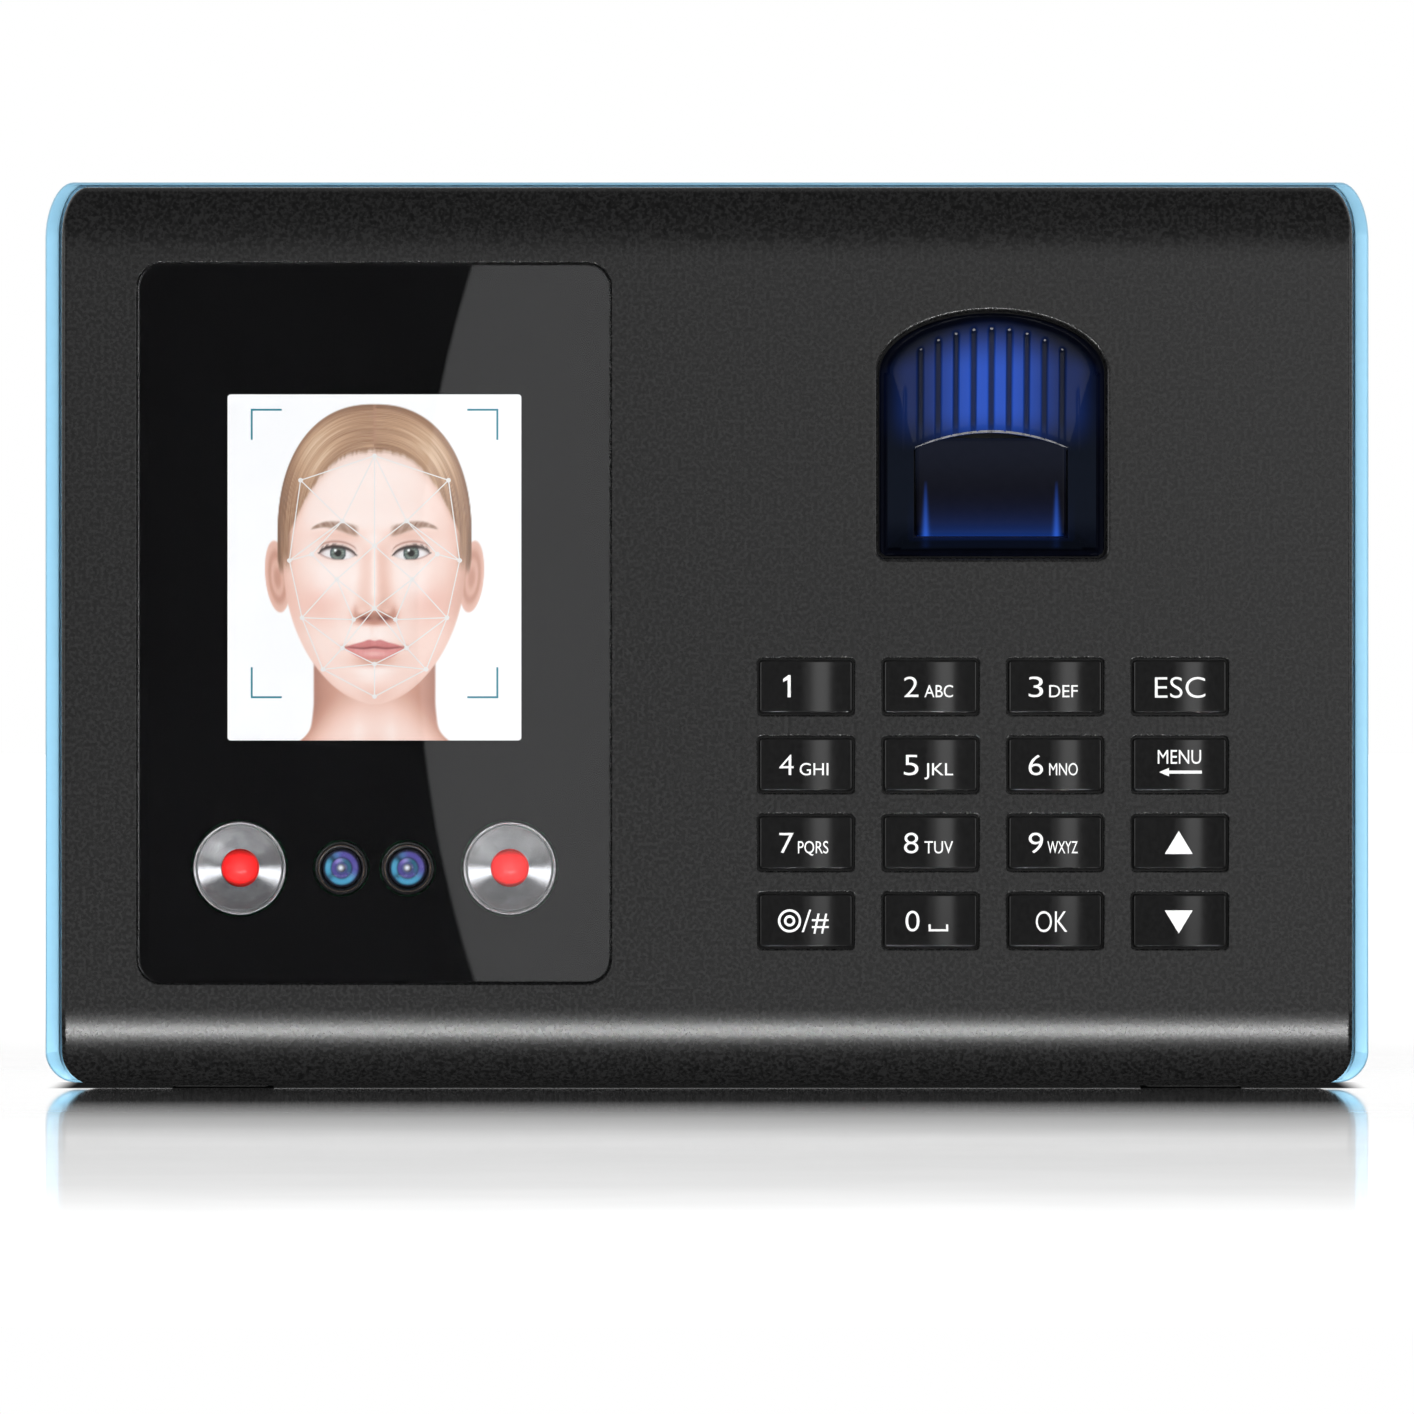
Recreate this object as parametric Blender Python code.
"""A fingerprint scanner terminal: display, twin camera, fingerprint reader and keypad.

The terminal faces -Y, +X is to the right as seen from the front and +Z is up. The origin
is the middle of its box, on the surface that it stands on. Sizes are in millimetres.
Depths are measured back from the flat face of the front cover.
"""

import math

import bmesh
import bpy
from mathutils import Vector

MM = 0.001

# Driving dimensions of the whole terminal
WIDTH = 190.0
HEIGHT = 130.0
BACK = 34.5  # rear face of the wall plate
KEY_PROUD = 0.8  # how far the keys stand out in front of the cover's face
MID_DEPTH = (BACK - KEY_PROUD) / 2
WALL = 2.2
GAP = 0.3  # clearance between neighbouring pieces

# Front cover
COVER_WIDTH = 185.4
COVER_BOTTOM = 0.2
COVER_TOP = 129.4
COVER_BACK = 8.0
COVER_RADIUS = 5.0  # bottom corners
COVER_CORNER = (3.6, 7.0)  # top corners: a quarter ellipse, width by height
BOTTOM_ROLL_TOP = 12.0  # below this height the face rolls under
TOP_ROLL_START = 118.5  # above this height the face leans back
TOP_ROLL_RADIUS = 24.0
TOP_EDGE = 1.0

# Side band, between the covers
BAND_BOTTOM = 0.6
BAND_FRONT = 5.0
BAND_BACK = 16.0
BAND_RADIUS = 4.3
BAND_CORNER = (4.0, 8.0)
BAND_THICKNESS = 4.5
BAND_MIDDLE = (BAND_BOTTOM + HEIGHT) / 2
LIP_BOTTOM = 2.0
LIP_TOP = 128.5

# Rear cover
REAR_WIDTH = 187.0
REAR_BOTTOM = 1.5
REAR_TOP = 128.5
REAR_FRONT = BAND_BACK + GAP
REAR_BACK = 34.2
REAR_MIDDLE = (REAR_BOTTOM + REAR_TOP) / 2
TUB_FLOOR = 31.0  # floor of the recess that the wall plate lies in
TUB = (0.0, 57.0)
TUB_SIZE = (110.0, 98.0)
WIRING = (0.0, 65.0)
WIRING_SIZE = (30.0, 20.0)

# Window and what shows through it
PANEL = (-47.65, 66.58)
PANEL_SIZE = (67.8, 103.1)
PANEL_RADIUS = 3.5
PANEL_BACK = 1.3
MASK_BACK = 1.9
SCREEN = (-47.65, 74.6)
SCREEN_SIZE = (42.1, 49.6)
LCD = (-47.65, 75.0)
LCD_SIZE = (50.0, 69.2)
CAMERA_ROW = 31.5
LENS_SPACING = 4.75
REFLECTOR_SPACING = 19.35
CAMERA_BOARD_FRONT = 10.9

# Fingerprint reader
FINGER_X = 40.8
FINGER_BOTTOM = 75.9
ARCH_START = 102.3
ARCH_RISE = 9.0
ARCH_HALF = 16.4
PLATEN_HALF = 11.1
PLATEN_BOTTOM = 78.9
PLATEN_TOP = 93.5
PLATEN_FRONT = 6.6
PLATEN_BACK = 11.8
GUIDE_BACK = 9.2

# Keypad
KEY_COLUMNS = (14.17, 32.02, 49.87, 67.72)
KEY_ROWS = (57.5, 46.33, 35.16, 23.99)
KEY_NAMES = (
    ("key_1", "key_2", "key_3", "key_esc"),
    ("key_4", "key_5", "key_6", "key_menu"),
    ("key_7", "key_8", "key_9", "key_up"),
    ("key_hash", "key_0", "key_ok", "key_down"),
)
WELL_SIZE = (14.0, 8.2)
KEY_SHOULDER = 0.25  # depth of a key's top at its left and right edges
FLANGE_FRONT = 2.6
FLANGE_BACK = 3.4
KEYPAD = (40.94, 40.75)
KEYPAD_SIZE = (72.0, 46.0)

# Boards and fasteners
BOARD = (9.0, 65.0)
BOARD_SIZE = (158.0, 86.0)
BOARD_FRONT = 22.0
BOARD_BACK = 23.6
BOARD_SCREWS = ((-64.0, 28.0), (-64.0, 102.0), (70.0, 28.0), (70.0, 102.0))
CASE_SCREWS = ((-84.0, 12.0), (-84.0, 118.0), (84.0, 12.0), (84.0, 118.0))
PLATE_SCREW_DEPTH = 31.2
KEYHOLES = (-35.0, 35.0)
KEYHOLE_HEIGHT = 82.0
SPEAKER = (-75.5, 60.0)
JACK = (80.0, 27.9, 45.0)
JACK_RADIUS = 3.8
FEET = ((-70.0, 12.0), (70.0, 12.0), (-70.0, 29.5), (70.0, 29.5))
FOOT_SIZE = (14.0, 6.0)
FOOT_TOP = 1.8


def place(x, depth, z):
    """A point in metres from millimetres, with its depth behind the cover's face."""
    return Vector((x, depth - MID_DEPTH, z)) * MM


def material(name, colour, roughness, metallic=0.0, glow=0.0):
    """A plain Principled material."""
    made = bpy.data.materials.new(name)
    made.use_nodes = True
    shader = made.node_tree.nodes["Principled BSDF"]
    shader.inputs["Base Color"].default_value = (*colour, 1.0)
    shader.inputs["Roughness"].default_value = roughness
    shader.inputs["Metallic"].default_value = metallic
    if glow:
        shader.inputs["Emission Color"].default_value = (*colour, 1.0)
        shader.inputs["Emission Strength"].default_value = glow
    return made


def solid(name, rings, closed=False):
    """A closed mesh object through equal rings of points, capped unless it is a closed loop."""
    mesh = bmesh.new()
    loops = [[mesh.verts.new(point) for point in ring] for ring in rings]
    pairs = list(zip(loops, loops[1:]))
    if closed:
        pairs.append((loops[-1], loops[0]))
    else:
        mesh.faces.new(loops[0])
        mesh.faces.new(loops[-1])
    for first, second in pairs:
        for index in range(len(first)):
            after = (index + 1) % len(first)
            mesh.faces.new((first[index], first[after], second[after], second[index]))
    bmesh.ops.recalc_face_normals(mesh, faces=mesh.faces)
    data = bpy.data.meshes.new(name)
    mesh.to_mesh(data)
    mesh.free()
    made = bpy.data.objects.new(name, data)
    bpy.context.scene.collection.objects.link(made)
    return made


def finish(made, look, sharp=35.0):
    """Gives a piece its material and smooth shading up to the sharp angle."""
    made.data.materials.append(look)
    made.data.shade_smooth()
    made.data.set_sharp_from_angle(angle=math.radians(sharp))
    return made


def helper(made):
    """Marks an object as a shape that only serves a Boolean."""
    made.hide_render = True
    made.display_type = "WIRE"
    return made


def combine(target, tool, operation):
    """Adds a Boolean modifier that uses a helper shape."""
    modifier = target.modifiers.new(tool.name, "BOOLEAN")
    modifier.operation = operation
    modifier.solver = "EXACT"
    modifier.object = helper(tool)


def joined(name, pieces):
    """One object from separate shapes that don't touch each other."""
    mesh = bmesh.new()
    for piece in pieces:
        mesh.from_mesh(piece.data)
        bpy.data.objects.remove(piece)
    data = bpy.data.meshes.new(name)
    mesh.to_mesh(data)
    mesh.free()
    made = bpy.data.objects.new(name, data)
    bpy.context.scene.collection.objects.link(made)
    return made


def rounded(size, radius, centre=(0.0, 0.0), steps=5):
    """A rectangle's outline with round corners."""
    points = []
    for corner, (side, up) in enumerate(((1, 1), (-1, 1), (-1, -1), (1, -1))):
        for step in range(steps + 1):
            angle = math.radians(90 * corner + 90 * step / steps)
            across = side * (size[0] / 2 - radius) + radius * math.cos(angle)
            along = up * (size[1] / 2 - radius) + radius * math.sin(angle)
            points.append((centre[0] + across, centre[1] + along))
    return points


def shell_outline(width, bottom, top, radius, corner, grow=0.0, steps=6):
    """The body's outline from the front: round bottom corners and elliptical top corners."""
    half = width / 2 + grow
    points = []
    for number, (side, up) in enumerate(((1, 1), (-1, 1), (-1, -1), (1, -1))):
        reach = corner if up > 0 else (radius, radius)
        limit = top + grow if up > 0 else bottom - grow
        for step in range(steps + 1):
            angle = math.radians(90 * number + 90 * step / steps)
            x = side * (half - reach[0]) + reach[0] * math.cos(angle)
            points.append((x, limit - up * reach[1] + reach[1] * math.sin(angle)))
    return points


def rectangle(size, centre=(0.0, 0.0)):
    """A rectangle's outline with square corners."""
    half_x = size[0] / 2
    half_z = size[1] / 2
    corners = ((half_x, half_z), (-half_x, half_z), (-half_x, -half_z), (half_x, -half_z))
    return [(centre[0] + x, centre[1] + z) for x, z in corners]


def circle(radius, centre=(0.0, 0.0), steps=20):
    """A circle's outline."""
    angles = [math.tau * step / steps for step in range(steps)]
    return [(centre[0] + radius * math.cos(a), centre[1] + radius * math.sin(a)) for a in angles]


def slab(name, outline, front, back):
    """An outline seen from the front, extruded from one depth to another."""
    rings = [[place(x, depth, z) for x, z in outline] for depth in (front, back)]
    return solid(name, rings)


def block(name, x_range, depth_range, z_range):
    """A plain box."""
    centre = (sum(x_range) / 2, sum(z_range) / 2)
    size = (x_range[1] - x_range[0], z_range[1] - z_range[0])
    return slab(name, rectangle(size, centre), *depth_range)


def turned(name, profile, at, axis="depth", steps=20, closed=False):
    """A shape turned about its own axis, from (radius, distance along the axis) points."""
    rings = []
    for radius, along in profile:
        rings.append([Vector((x, y, along)) * MM for x, y in circle(radius, steps=steps)])
    made = solid(name, rings, closed)
    made.location = place(*at)
    turns = {"depth": (-90, 0, 0), "x": (0, 90, 0), "z": (0, 0, 0)}
    made.rotation_euler = [math.radians(turn) for turn in turns[axis]]
    return made


def holes(name, places, radius, front, back, steps=16):
    """Round bars that cut one hole at each place."""
    bars = [slab(name, circle(radius, at, steps), front, back) for at in places]
    return joined(name, bars)


def cover_profile(inset):
    """The front cover's section from bottom to top, as (depth, height) points."""
    points = [(COVER_BACK + inset, COVER_BOTTOM + inset)]
    for step in range(9):
        angle = math.radians(90 * step / 8)
        depth = COVER_BACK - (COVER_BACK - inset) * math.sin(angle)
        drop = BOTTOM_ROLL_TOP - COVER_BOTTOM - inset
        points.append((depth, BOTTOM_ROLL_TOP - drop * math.cos(angle)))
    radius = TOP_ROLL_RADIUS - inset
    rise = COVER_TOP - inset - TOP_EDGE - TOP_ROLL_START
    top_angle = math.asin(rise / radius)
    for step in range(5):
        angle = top_angle * step / 4
        lean = TOP_ROLL_RADIUS - radius * math.cos(angle)
        points.append((lean, TOP_ROLL_START + radius * math.sin(angle)))
    edge = points[-1][0]
    points.append((edge + TOP_EDGE * 0.3, COVER_TOP - inset - TOP_EDGE * 0.3))
    points.append((edge + TOP_EDGE, COVER_TOP - inset))
    points.append((COVER_BACK + inset, COVER_TOP - inset))
    return points[1:] if inset == 0 else points


def cover_solid(name, inset):
    """The front cover's section, drawn across its width."""
    half = COVER_WIDTH / 2 - inset
    profile = cover_profile(inset)
    return solid(name, [[place(x, depth, z) for depth, z in profile] for x in (-half, half)])


def cover_outline(grow=0.0):
    """The front cover's outline, grown by a clearance."""
    sizes = (COVER_WIDTH, COVER_BOTTOM, COVER_TOP, COVER_RADIUS, COVER_CORNER)
    return shell_outline(*sizes, grow)


def finger_outline(margin=0.0):
    """The arched opening of the fingerprint reader, grown by a margin."""
    half = ARCH_HALF + margin
    bottom = FINGER_BOTTOM - margin
    corner = 1.3
    points = []
    for side, start in ((-1, 180), (1, 270)):
        for step in range(4):
            angle = math.radians(start + 30 * step)
            x = FINGER_X + side * (half - corner) + corner * math.cos(angle)
            points.append((x, bottom + corner + corner * math.sin(angle)))
    for step in range(17):
        angle = math.pi * step / 16
        rise = (ARCH_RISE + margin) * math.sin(angle)
        points.append((FINGER_X + half * math.cos(angle), ARCH_START + rise))
    return points


def front_cover(look):
    """The black front shell with its window seat, key wells and screw bosses."""
    cover = cover_solid("front_cover", 0.0)
    combine(cover, slab("cover_corners", cover_outline(), -1, 20), "INTERSECT")
    combine(cover, cover_solid("cover_hollow", WALL), "DIFFERENCE")
    seat = rounded((PANEL_SIZE[0] + 8, PANEL_SIZE[1] + 8), 5, PANEL)
    combine(cover, slab("window_seat", seat, 1.0, 3.6), "UNION")
    combine(cover, holes("cover_bosses", CASE_SCREWS, 3.5, 1.5, 17.2), "UNION")
    pocket_size = [side + 2 * GAP for side in PANEL_SIZE]
    pocket = rounded(pocket_size, PANEL_RADIUS + GAP, PANEL)
    combine(cover, slab("window_pocket", pocket, -1, MASK_BACK + GAP), "DIFFERENCE")
    opening = rounded([side - 7.4 for side in PANEL_SIZE], 2, PANEL)
    combine(cover, slab("window_opening", opening, -1, 9), "DIFFERENCE")
    wells = []
    for z in KEY_ROWS:
        for x in KEY_COLUMNS:
            wells.append(slab("well", rounded(WELL_SIZE, 0.7, (x, z), 2), -1, 4))
    combine(cover, joined("key_wells", wells), "DIFFERENCE")
    combine(cover, slab("finger_opening", finger_outline(), -1, 4), "DIFFERENCE")
    combine(cover, holes("boss_holes", CASE_SCREWS, 1.5, 9.5, 18, 12), "DIFFERENCE")
    finish(cover, look)


def foot_pockets(name):
    """The shallow recesses that the rubber feet sit in."""
    size = [side + 2 * GAP for side in FOOT_SIZE]
    pockets = []
    for centre in FEET:
        outline = rounded(size, 1.8, centre, 2)
        rings = [[place(x, depth, z) for x, depth in outline] for z in (-1, FOOT_TOP + GAP)]
        pockets.append(solid("pocket", rings))
    return joined(name, pockets)


def side_band(look):
    """The band round the middle, with a lip along each side of the front cover."""
    outline = shell_outline(WIDTH, BAND_BOTTOM, HEIGHT, BAND_RADIUS, BAND_CORNER)
    band = slab("side_band", outline, BAND_FRONT, BAND_BACK)
    inner_size = (WIDTH - 2 * BAND_THICKNESS, HEIGHT - BAND_BOTTOM - 2 * BAND_THICKNESS)
    inner = rounded(inner_size, 2, (0, BAND_MIDDLE))
    combine(band, slab("band_inside", inner, 0, 20), "DIFFERENCE")
    lip_depth = (0, COVER_BACK + GAP)
    combine(band, slab("cover_clearance", cover_outline(GAP), *lip_depth), "DIFFERENCE")
    for name, z_range in (("lip_foot", (-9, LIP_BOTTOM)), ("lip_head", (LIP_TOP, HEIGHT + 9))):
        combine(band, block(name, (-WIDTH, WIDTH), lip_depth, z_range), "DIFFERENCE")
    combine(band, foot_pockets("band_pockets"), "DIFFERENCE")
    finish(band, look)


def rear_cover(look):
    """The rear shell with its plate recess, screw tubes, board posts, slots and port holes."""
    size = (REAR_WIDTH, REAR_TOP - REAR_BOTTOM)
    outline = shell_outline(REAR_WIDTH, REAR_BOTTOM, REAR_TOP, 4.0, BAND_CORNER)
    cover = slab("rear_cover", outline, REAR_FRONT, REAR_BACK)
    inside = rounded([side - 2 * WALL for side in size], 3, (0, REAR_MIDDLE))
    combine(cover, slab("rear_hollow", inside, 10, REAR_BACK - WALL), "DIFFERENCE")
    tub = rounded([side + 2 * WALL for side in TUB_SIZE], 3, TUB)
    combine(cover, slab("tub_walls", tub, TUB_FLOOR - WALL, REAR_BACK - 1), "UNION")
    combine(cover, holes("screw_tubes", CASE_SCREWS, 4.2, 17.5, 33), "UNION")
    combine(cover, holes("board_posts", BOARD_SCREWS, 3.0, BOARD_BACK + GAP, 33), "UNION")
    recess = slab("plate_recess", rounded(TUB_SIZE, 1, TUB, 2), TUB_FLOOR, 40)
    combine(cover, recess, "DIFFERENCE")
    cuts = [
        block("tab_notch", (-8, 8), (27.5, TUB_FLOOR + 1), (8, 13)),
        slab("wiring_window", rounded(WIRING_SIZE, 2, WIRING, 2), 25, TUB_FLOOR + 1),
        block("usb_hole", (88, 100), (23.6, 31.2), (57.7, 72.8)),
        turned("jack_hole", [(JACK_RADIUS + 0.4, 8), (JACK_RADIUS + 0.4, 20)], JACK, "x"),
    ]
    for side in (-1, 1):
        hook = (side * 45 - 4.6, side * 45 + 4.6)
        cuts.append(block("hook_slot", hook, (25, TUB_FLOOR + 1), (95, 100)))
    for number in range(7):
        x = 15.0 * (number - 3)
        cuts.append(block("vent", (x - 5, x + 5), (24.5, 26.3), (120, 132)))
    for number in range(5):
        x = SPEAKER[0] + 4.0 * (number - 2)
        cuts.append(block("speaker_slot", (x - 0.9, x + 0.9), (31, 36), (52, 68)))
    for cut in cuts:
        combine(cover, cut, "DIFFERENCE")
    combine(cover, holes("head_wells", CASE_SCREWS, 3.1, 20, 40), "DIFFERENCE")
    combine(cover, holes("shank_holes", CASE_SCREWS, 1.7, 15, 21, 12), "DIFFERENCE")
    combine(cover, holes("post_holes", BOARD_SCREWS, 1.4, 20, 31.2, 12), "DIFFERENCE")
    at = (0, PLATE_SCREW_DEPTH, 0)
    combine(cover, turned("plate_bore", [(1.8, 0), (1.8, 9)], at, "z", 16), "DIFFERENCE")
    combine(cover, foot_pockets("rear_pockets"), "DIFFERENCE")
    combine(cover, turned("plate_counterbore", [(3.1, 0), (3.1, 2.6)], at, "z", 16), "DIFFERENCE")
    finish(cover, look)


def window(clear, ink):
    """The clear window and the printed mask behind it."""
    outline = rounded(PANEL_SIZE, PANEL_RADIUS, PANEL)
    finish(slab("window_panel", outline, 0.1, PANEL_BACK), clear)
    mask_size = [side - 1.6 for side in PANEL_SIZE]
    mask = slab("window_mask", rounded(mask_size, 3, PANEL), PANEL_BACK + GAP, MASK_BACK)
    combine(mask, slab("screen_cutout", rounded(SCREEN_SIZE, 0.3, SCREEN, 1), 0, 3), "DIFFERENCE")
    lenses = [(PANEL[0] + side * LENS_SPACING, CAMERA_ROW) for side in (-1, 1)]
    lamps = [(PANEL[0] + side * REFLECTOR_SPACING, CAMERA_ROW) for side in (-1, 1)]
    combine(mask, holes("lens_holes", lenses, 4.1, 0, 3, 24), "DIFFERENCE")
    combine(mask, holes("lamp_holes", lamps, 7.0, 0, 3, 32), "DIFFERENCE")
    finish(mask, ink)


def display(glass, light, steel, film):
    """The liquid-crystal panel, its backlight, its tray and its ribbon cable."""
    finish(slab("lcd_panel", rectangle(LCD_SIZE, LCD), 2.5, 4.0), glass)
    finish(slab("lcd_backlight", rectangle([side - 0.6 for side in LCD_SIZE], LCD), 4.3, 6.3), light)
    tray = slab("lcd_frame", rounded([side + 3.0 for side in LCD_SIZE], 1, LCD, 2), 2.5, 7.6)
    pocket = rectangle([side + 2 * GAP for side in LCD_SIZE], LCD)
    combine(tray, slab("lcd_pocket", pocket, 0, 6.6), "DIFFERENCE")
    finish(tray, steel)
    path = ((8.1, 70), (8.1, 58), (9.1, 55), (13, 52.5), (17, 50.3), (18.6, 47.5), (18.9, 39.5))
    finish(ribbon("ribbon_cable", path, (-57.0, -37.0), 0.3), film)


def ribbon(name, path, x_range, thickness):
    """A flat cable that follows (depth, height) points."""
    sides = ([], [])
    for index, point in enumerate(path):
        before = Vector(path[max(index - 1, 0)])
        after = Vector(path[min(index + 1, len(path) - 1)])
        along = (after - before).normalized()
        across = Vector((along.y, -along.x)) * thickness / 2
        sides[0].append(Vector(point) + across)
        sides[1].append(Vector(point) - across)
    outline = sides[0] + sides[1][::-1]
    return solid(name, [[place(x, depth, z) for depth, z in outline] for x in x_range])


def cameras(looks):
    """Both camera barrels and lenses, both lamps and the board that carries them."""
    for side, word in ((-1, "left"), (1, "right")):
        at = (PANEL[0] + side * LENS_SPACING, 0, CAMERA_ROW)
        barrel = [(3.0, 6.0), (3.0, 2.2), (3.75, 2.2), (3.75, 10.6)]
        finish(turned(f"camera_barrel_{word}", barrel, at, steps=24), looks["black"])
        lens = [(1.2, 2.45), (2.2, 2.75), (2.7, 3.3), (2.7, 5.4)]
        finish(turned(f"camera_lens_{word}", lens, at, steps=24), looks["lens"])
        at = (PANEL[0] + side * REFLECTOR_SPACING, 0, CAMERA_ROW)
        dish = [(6.3, 2.2), (5.5, 3.8), (4.3, 5.6), (3.0, 7.2), (3.0, 7.7)]
        dish += [(3.6, 7.7), (5.0, 6.0), (6.2, 3.8), (6.75, 2.2)]
        name = f"reflector_{word}"
        finish(turned(name, dish, at, steps=28, closed=True), looks["chrome"], 60)
        dome = []
        for angle in (15, 40, 65, 90):
            angle = math.radians(angle)
            dome.append((2.5 * math.sin(angle), 3.5 + 2.5 * (1 - math.cos(angle))))
        dome += [(2.5, 9.6), (2.9, 9.6), (2.9, 10.6)]
        finish(turned(f"led_{word}", dome, at), looks["red"])
    outline = rounded((56.0, 14.0), 1, (PANEL[0], CAMERA_ROW), 2)
    board = slab("camera_board", outline, CAMERA_BOARD_FRONT, 12.1)
    socket = block("camera_socket", (PANEL[0] - 6, PANEL[0] + 6), (11.8, 14.2), (26, 31))
    combine(board, socket, "UNION")
    finish(board, looks["board"])


def finger_reader(looks):
    """The guide that leads a finger to the glass, and the optical sensor behind it."""
    guide = slab("finger_guide", finger_outline(-GAP), 0.4, GUIDE_BACK)
    combine(guide, slab("guide_flange", finger_outline(2.0), 2.5, 4.0), "UNION")
    mouth = []
    throat = []
    for x, z in finger_outline(-1.1):
        mouth.append(place(x, 0.3, z))
        inner_x = max(-PLATEN_HALF, min(PLATEN_HALF, (x - FINGER_X) * 0.74))
        inner_z = PLATEN_BOTTOM + (z - FINGER_BOTTOM) * 0.43
        throat.append(place(FINGER_X + inner_x, 6.0, inner_z))
    outside = [point - Vector((0, MM, 0)) for point in mouth]
    combine(guide, solid("finger_scoop", [outside, mouth, throat]), "DIFFERENCE")
    platen_x = (FINGER_X - PLATEN_HALF, FINGER_X + PLATEN_HALF)
    throat_cut = block("platen_hole", platen_x, (5.0, 12), (PLATEN_BOTTOM, PLATEN_TOP))
    combine(guide, throat_cut, "DIFFERENCE")
    finish(guide, looks["guide"])
    inner_x = (platen_x[0] + GAP, platen_x[1] - GAP)
    inner_z = (PLATEN_BOTTOM + GAP, PLATEN_TOP - GAP)
    platen = block("finger_platen", inner_x, (PLATEN_FRONT, PLATEN_BACK), inner_z)
    finish(platen, looks["platen"])
    finish(block("finger_light", inner_x, (9.6, PLATEN_BACK), (75.4, 78.6)), looks["blue"])
    housing_x = (FINGER_X - 14.0, FINGER_X + 14.0)
    finish(block("sensor_housing", housing_x, (12.2, 18.6), (75, 97)), looks["black"])
    board = block("sensor_board", housing_x, (18.9, 20.1), (74, 98))
    finish(board, looks["board"])


def key_mesh():
    """A key with a top that bulges in the middle and a flange that holds it in the cover."""
    half_x = WELL_SIZE[0] / 2 - GAP
    half_z = WELL_SIZE[1] / 2 - GAP
    corner = 0.5
    bulge = KEY_PROUD + KEY_SHOULDER
    radius = (half_x**2 + bulge**2) / (2 * bulge)
    inner = half_x - corner
    stations = [-half_x] + [inner * step / 4 for step in range(-4, 5)] + [half_x]
    rings = []
    for x in stations:
        edge = half_z - (corner if abs(x) == half_x else 0.0)
        depth = radius - math.sqrt(radius**2 - x**2) - KEY_PROUD
        rings.append(((x, depth, -edge), (x, depth, edge)))
    mesh = bmesh.new()
    tops = [[mesh.verts.new(Vector(point) * MM) for point in pair] for pair in rings]
    for first, second in zip(tops, tops[1:]):
        mesh.faces.new((first[0], second[0], second[1], first[1]))
    loop = [pair[0] for pair in tops] + [pair[1] for pair in reversed(tops)]
    skirt = [(vert.co.x / MM, vert.co.z / MM) for vert in loop]
    flange = []
    for x, z in skirt:
        flange.append((math.copysign(abs(x) + 0.9 * abs(x) / half_x, x), z + math.copysign(0.8, z)))
    for outline, depth in ((skirt, FLANGE_FRONT), (flange, FLANGE_FRONT), (flange, FLANGE_BACK)):
        lower = [mesh.verts.new(Vector((x, depth, z)) * MM) for x, z in outline]
        for index in range(len(loop)):
            after = (index + 1) % len(loop)
            mesh.faces.new((loop[index], loop[after], lower[after], lower[index]))
        loop = lower
    mesh.faces.new(loop)
    bmesh.ops.recalc_face_normals(mesh, faces=mesh.faces)
    data = bpy.data.meshes.new("key")
    mesh.to_mesh(data)
    mesh.free()
    return data


def keypad(looks):
    """The sixteen keys, each with its origin on its own axis, and what lies under them."""
    data = key_mesh()
    data.materials.append(looks["key"])
    data.shade_smooth()
    data.set_sharp_from_angle(angle=math.radians(30))
    places = []
    for names, z in zip(KEY_NAMES, KEY_ROWS):
        for name, x in zip(names, KEY_COLUMNS):
            key = bpy.data.objects.new(name, data)
            key.location = place(x, 0, z)
            bpy.context.scene.collection.objects.link(key)
            places.append((x, z))
    membrane = slab("keypad_membrane", rounded(KEYPAD_SIZE, 2, KEYPAD, 2), 4.6, 5.9)
    pads = [slab("pad", rounded((9.0, 5.0), 1, at, 1), 3.7, 4.8) for at in places]
    combine(membrane, joined("membrane_pads", pads), "UNION")
    finish(membrane, looks["silicone"])
    board = slab("keypad_board", rounded(KEYPAD_SIZE, 1, KEYPAD, 2), 6.8, 8.4)
    combine(board, holes("switch_domes", places, 2.4, 6.2, 7.0, 10), "UNION")
    finish(board, looks["board"])


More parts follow.
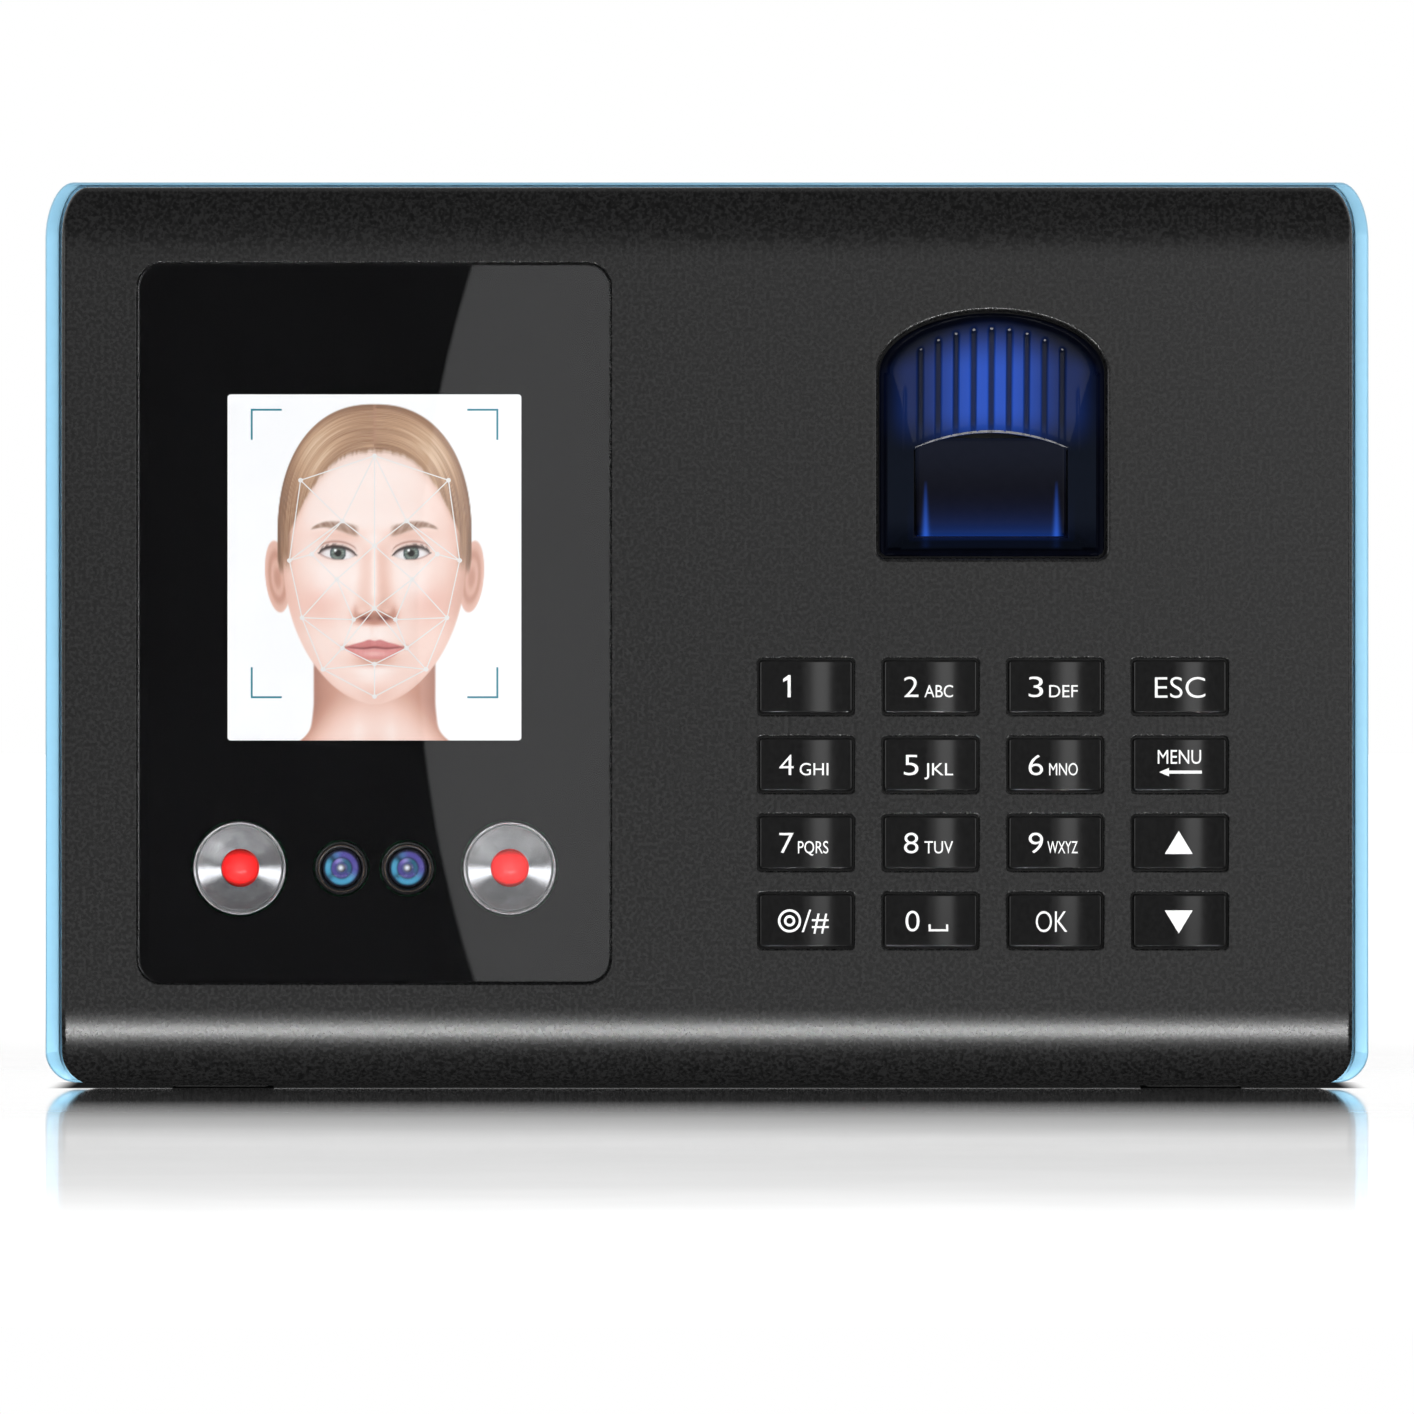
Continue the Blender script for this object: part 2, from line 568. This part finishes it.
def main_board(looks):
    """The main circuit board with its chips, connectors, clock cell and ports."""
    board = slab("main_board", rounded(BOARD_SIZE, 2, BOARD, 2), BOARD_FRONT, BOARD_BACK)
    combine(board, holes("board_holes", BOARD_SCREWS, 1.4, 20, 26, 12), "DIFFERENCE")
    chips = [
        block("processor", (-8, 8), (20.4, 22.2), (72, 88)),
        block("memory_chip", (14, 24), (20.8, 22.2), (74, 88)),
        block("ribbon_socket", (-58, -36), (19.6, 22.2), (37, 44)),
        block("power_coil", (40, 48), (18.5, 22.2), (36, 44)),
        block("wiring_terminals", (-12, 12), (23.4, 28.0), (58, 72)),
        block("relay", (30, 42), (23.4, 28.0), (84, 100)),
    ]
    combine(board, joined("chips", chips), "UNION")
    finish(board, looks["board"])
    cell = turned("clock_battery", [(6.2, 0), (6.2, 2.0)], (-30, 19.6, 92), steps=24)
    finish(cell, looks["steel"])
    usb = block("usb_port", (79, 93.2), (BOARD_BACK + GAP, 30.9), (58.0, 72.5))
    combine(usb, block("usb_mouth", (81, 94), (24.6, 30.2), (59.0, 71.5)), "DIFFERENCE")
    combine(usb, block("usb_tongue", (80, 92), (28.2, 29.6), (59.8, 70.7)), "UNION")
    finish(usb, looks["steel"])
    profile = [(2.8, 2), (2.8, 13.2), (JACK_RADIUS, 13.2), (JACK_RADIUS, 0)]
    jack = turned("dc_jack", profile, JACK, "x")
    combine(jack, turned("jack_pin", [(1.0, 0.5), (1.0, 11)], JACK, "x", 12), "UNION")
    finish(jack, looks["black"])
    profile = [(7.5, 25.4), (7.5, 28.4), (13, 30.3), (13, 31.6)]
    speaker = turned("speaker", profile, (SPEAKER[0], 0, SPEAKER[1]), steps=28)
    finish(speaker, looks["steel"])


def screw(name, at, axis, head, shank, sunk, look):
    """A pan-head screw from its head (radius, height) and shank (radius, length)."""
    sign = -1 if sunk else 1
    profile = [(head[0] * 0.6, 0), (head[0], head[1] * 0.5 * sign), (head[0], head[1] * sign)]
    profile += [(shank[0], head[1] * sign), (shank[0], (head[1] + shank[1]) * sign)]
    finish(turned(name, profile, at, axis, 14), look)


def fasteners(looks):
    """The case, board and plate screws, the wall plate and the feet."""
    for number, (x, z) in enumerate(CASE_SCREWS, 1):
        at = (x, 22.0, z)
        screw(f"case_screw_{number}", at, "depth", (2.7, 1.7), (1.2, 10.0), True, looks["steel"])
    for number, (x, z) in enumerate(BOARD_SCREWS, 1):
        at = (x, 20.4, z)
        screw(f"board_screw_{number}", at, "depth", (2.2, 1.3), (1.1, 8.0), False, looks["steel"])
    at = (0, PLATE_SCREW_DEPTH, 1.5)
    screw("plate_screw", at, "z", (2.8, 0.8), (1.5, 10.0), False, looks["steel"])
    plate_outline = rounded([side - 2 * GAP for side in TUB_SIZE], 0.9, TUB, 2)
    plate = slab("wall_plate", plate_outline, 33.3, BACK)
    entries = holes("keyhole_entries", [(x, KEYHOLE_HEIGHT) for x in KEYHOLES], 4.5, 30, 40, 20)
    combine(plate, entries, "DIFFERENCE")
    slots = [
        block("slot", (x - 2.3, x + 2.3), (30, 40), (KEYHOLE_HEIGHT, KEYHOLE_HEIGHT + 11))
        for x in KEYHOLES
    ]
    combine(plate, joined("keyhole_slots", slots), "DIFFERENCE")
    hole_size = [side + 4.0 for side in WIRING_SIZE]
    combine(plate, slab("plate_window", rounded(hole_size, 2, WIRING, 2), 30, 40), "DIFFERENCE")
    for side in (-1, 1):
        x_range = (side * 45 - 4, side * 45 + 4)
        combine(plate, block("hook", x_range, (29.6, 33.5), (96, 97.2)), "UNION")
    combine(plate, block("screw_tab", (-6, 6), (28.0, 33.5), (9.0, 10.2)), "UNION")
    at = (0, PLATE_SCREW_DEPTH, 8)
    combine(plate, turned("tab_hole", [(1.8, 0), (1.8, 4)], at, "z", 16), "DIFFERENCE")
    finish(plate, looks["zinc"])
    for number, centre in enumerate(FEET, 1):
        outline = rounded(FOOT_SIZE, 1.5, centre, 3)
        rings = [[place(x, depth, z) for x, depth in outline] for z in (0, FOOT_TOP)]
        finish(solid(f"foot_{number}", rings), looks["rubber"])


def build():
    """Removes what the file holds and makes every piece."""
    for old in list(bpy.data.objects):
        bpy.data.objects.remove(old)
    looks = {
        "cover": material("cover_plastic", (0.035, 0.035, 0.035), 0.5),
        "rear": material("rear_plastic", (0.02, 0.02, 0.02), 0.6),
        "band": material("blue_plastic", (0.38, 0.74, 0.98), 0.35),
        "clear": material("window_plastic", (0.01, 0.01, 0.012), 0.05),
        "black": material("black_plastic", (0.01, 0.01, 0.01), 0.4),
        "screen": material("screen_glass", (0.85, 0.85, 0.87), 0.2, 0.0, 1.0),
        "light": material("light_guide", (0.9, 0.9, 0.95), 0.3),
        "steel": material("steel", (0.55, 0.55, 0.55), 0.3, 1.0),
        "zinc": material("zinc_plate", (0.6, 0.61, 0.63), 0.4, 1.0),
        "film": material("orange_film", (0.6, 0.25, 0.05), 0.3),
        "chrome": material("chrome", (0.85, 0.85, 0.87), 0.08, 1.0),
        "red": material("red_lamp", (0.9, 0.07, 0.05), 0.2, 0.0, 1.0),
        "lens": material("lens_glass", (0.03, 0.02, 0.12), 0.03),
        "guide": material("guide_plastic", (0.01, 0.015, 0.06), 0.25),
        "platen": material("platen_glass", (0.01, 0.01, 0.02), 0.03),
        "blue": material("blue_light", (0.05, 0.15, 0.9), 0.3, 0.0, 2.0),
        "key": material("key_plastic", (0.02, 0.02, 0.02), 0.3),
        "silicone": material("silicone", (0.25, 0.25, 0.26), 0.7),
        "board": material("board_laminate", (0.02, 0.16, 0.06), 0.4),
        "rubber": material("rubber", (0.015, 0.015, 0.015), 0.8),
    }
    front_cover(looks["cover"])
    side_band(looks["band"])
    rear_cover(looks["rear"])
    window(looks["clear"], looks["black"])
    display(looks["screen"], looks["light"], looks["steel"], looks["film"])
    cameras(looks)
    finger_reader(looks)
    keypad(looks)
    main_board(looks)
    fasteners(looks)


build()
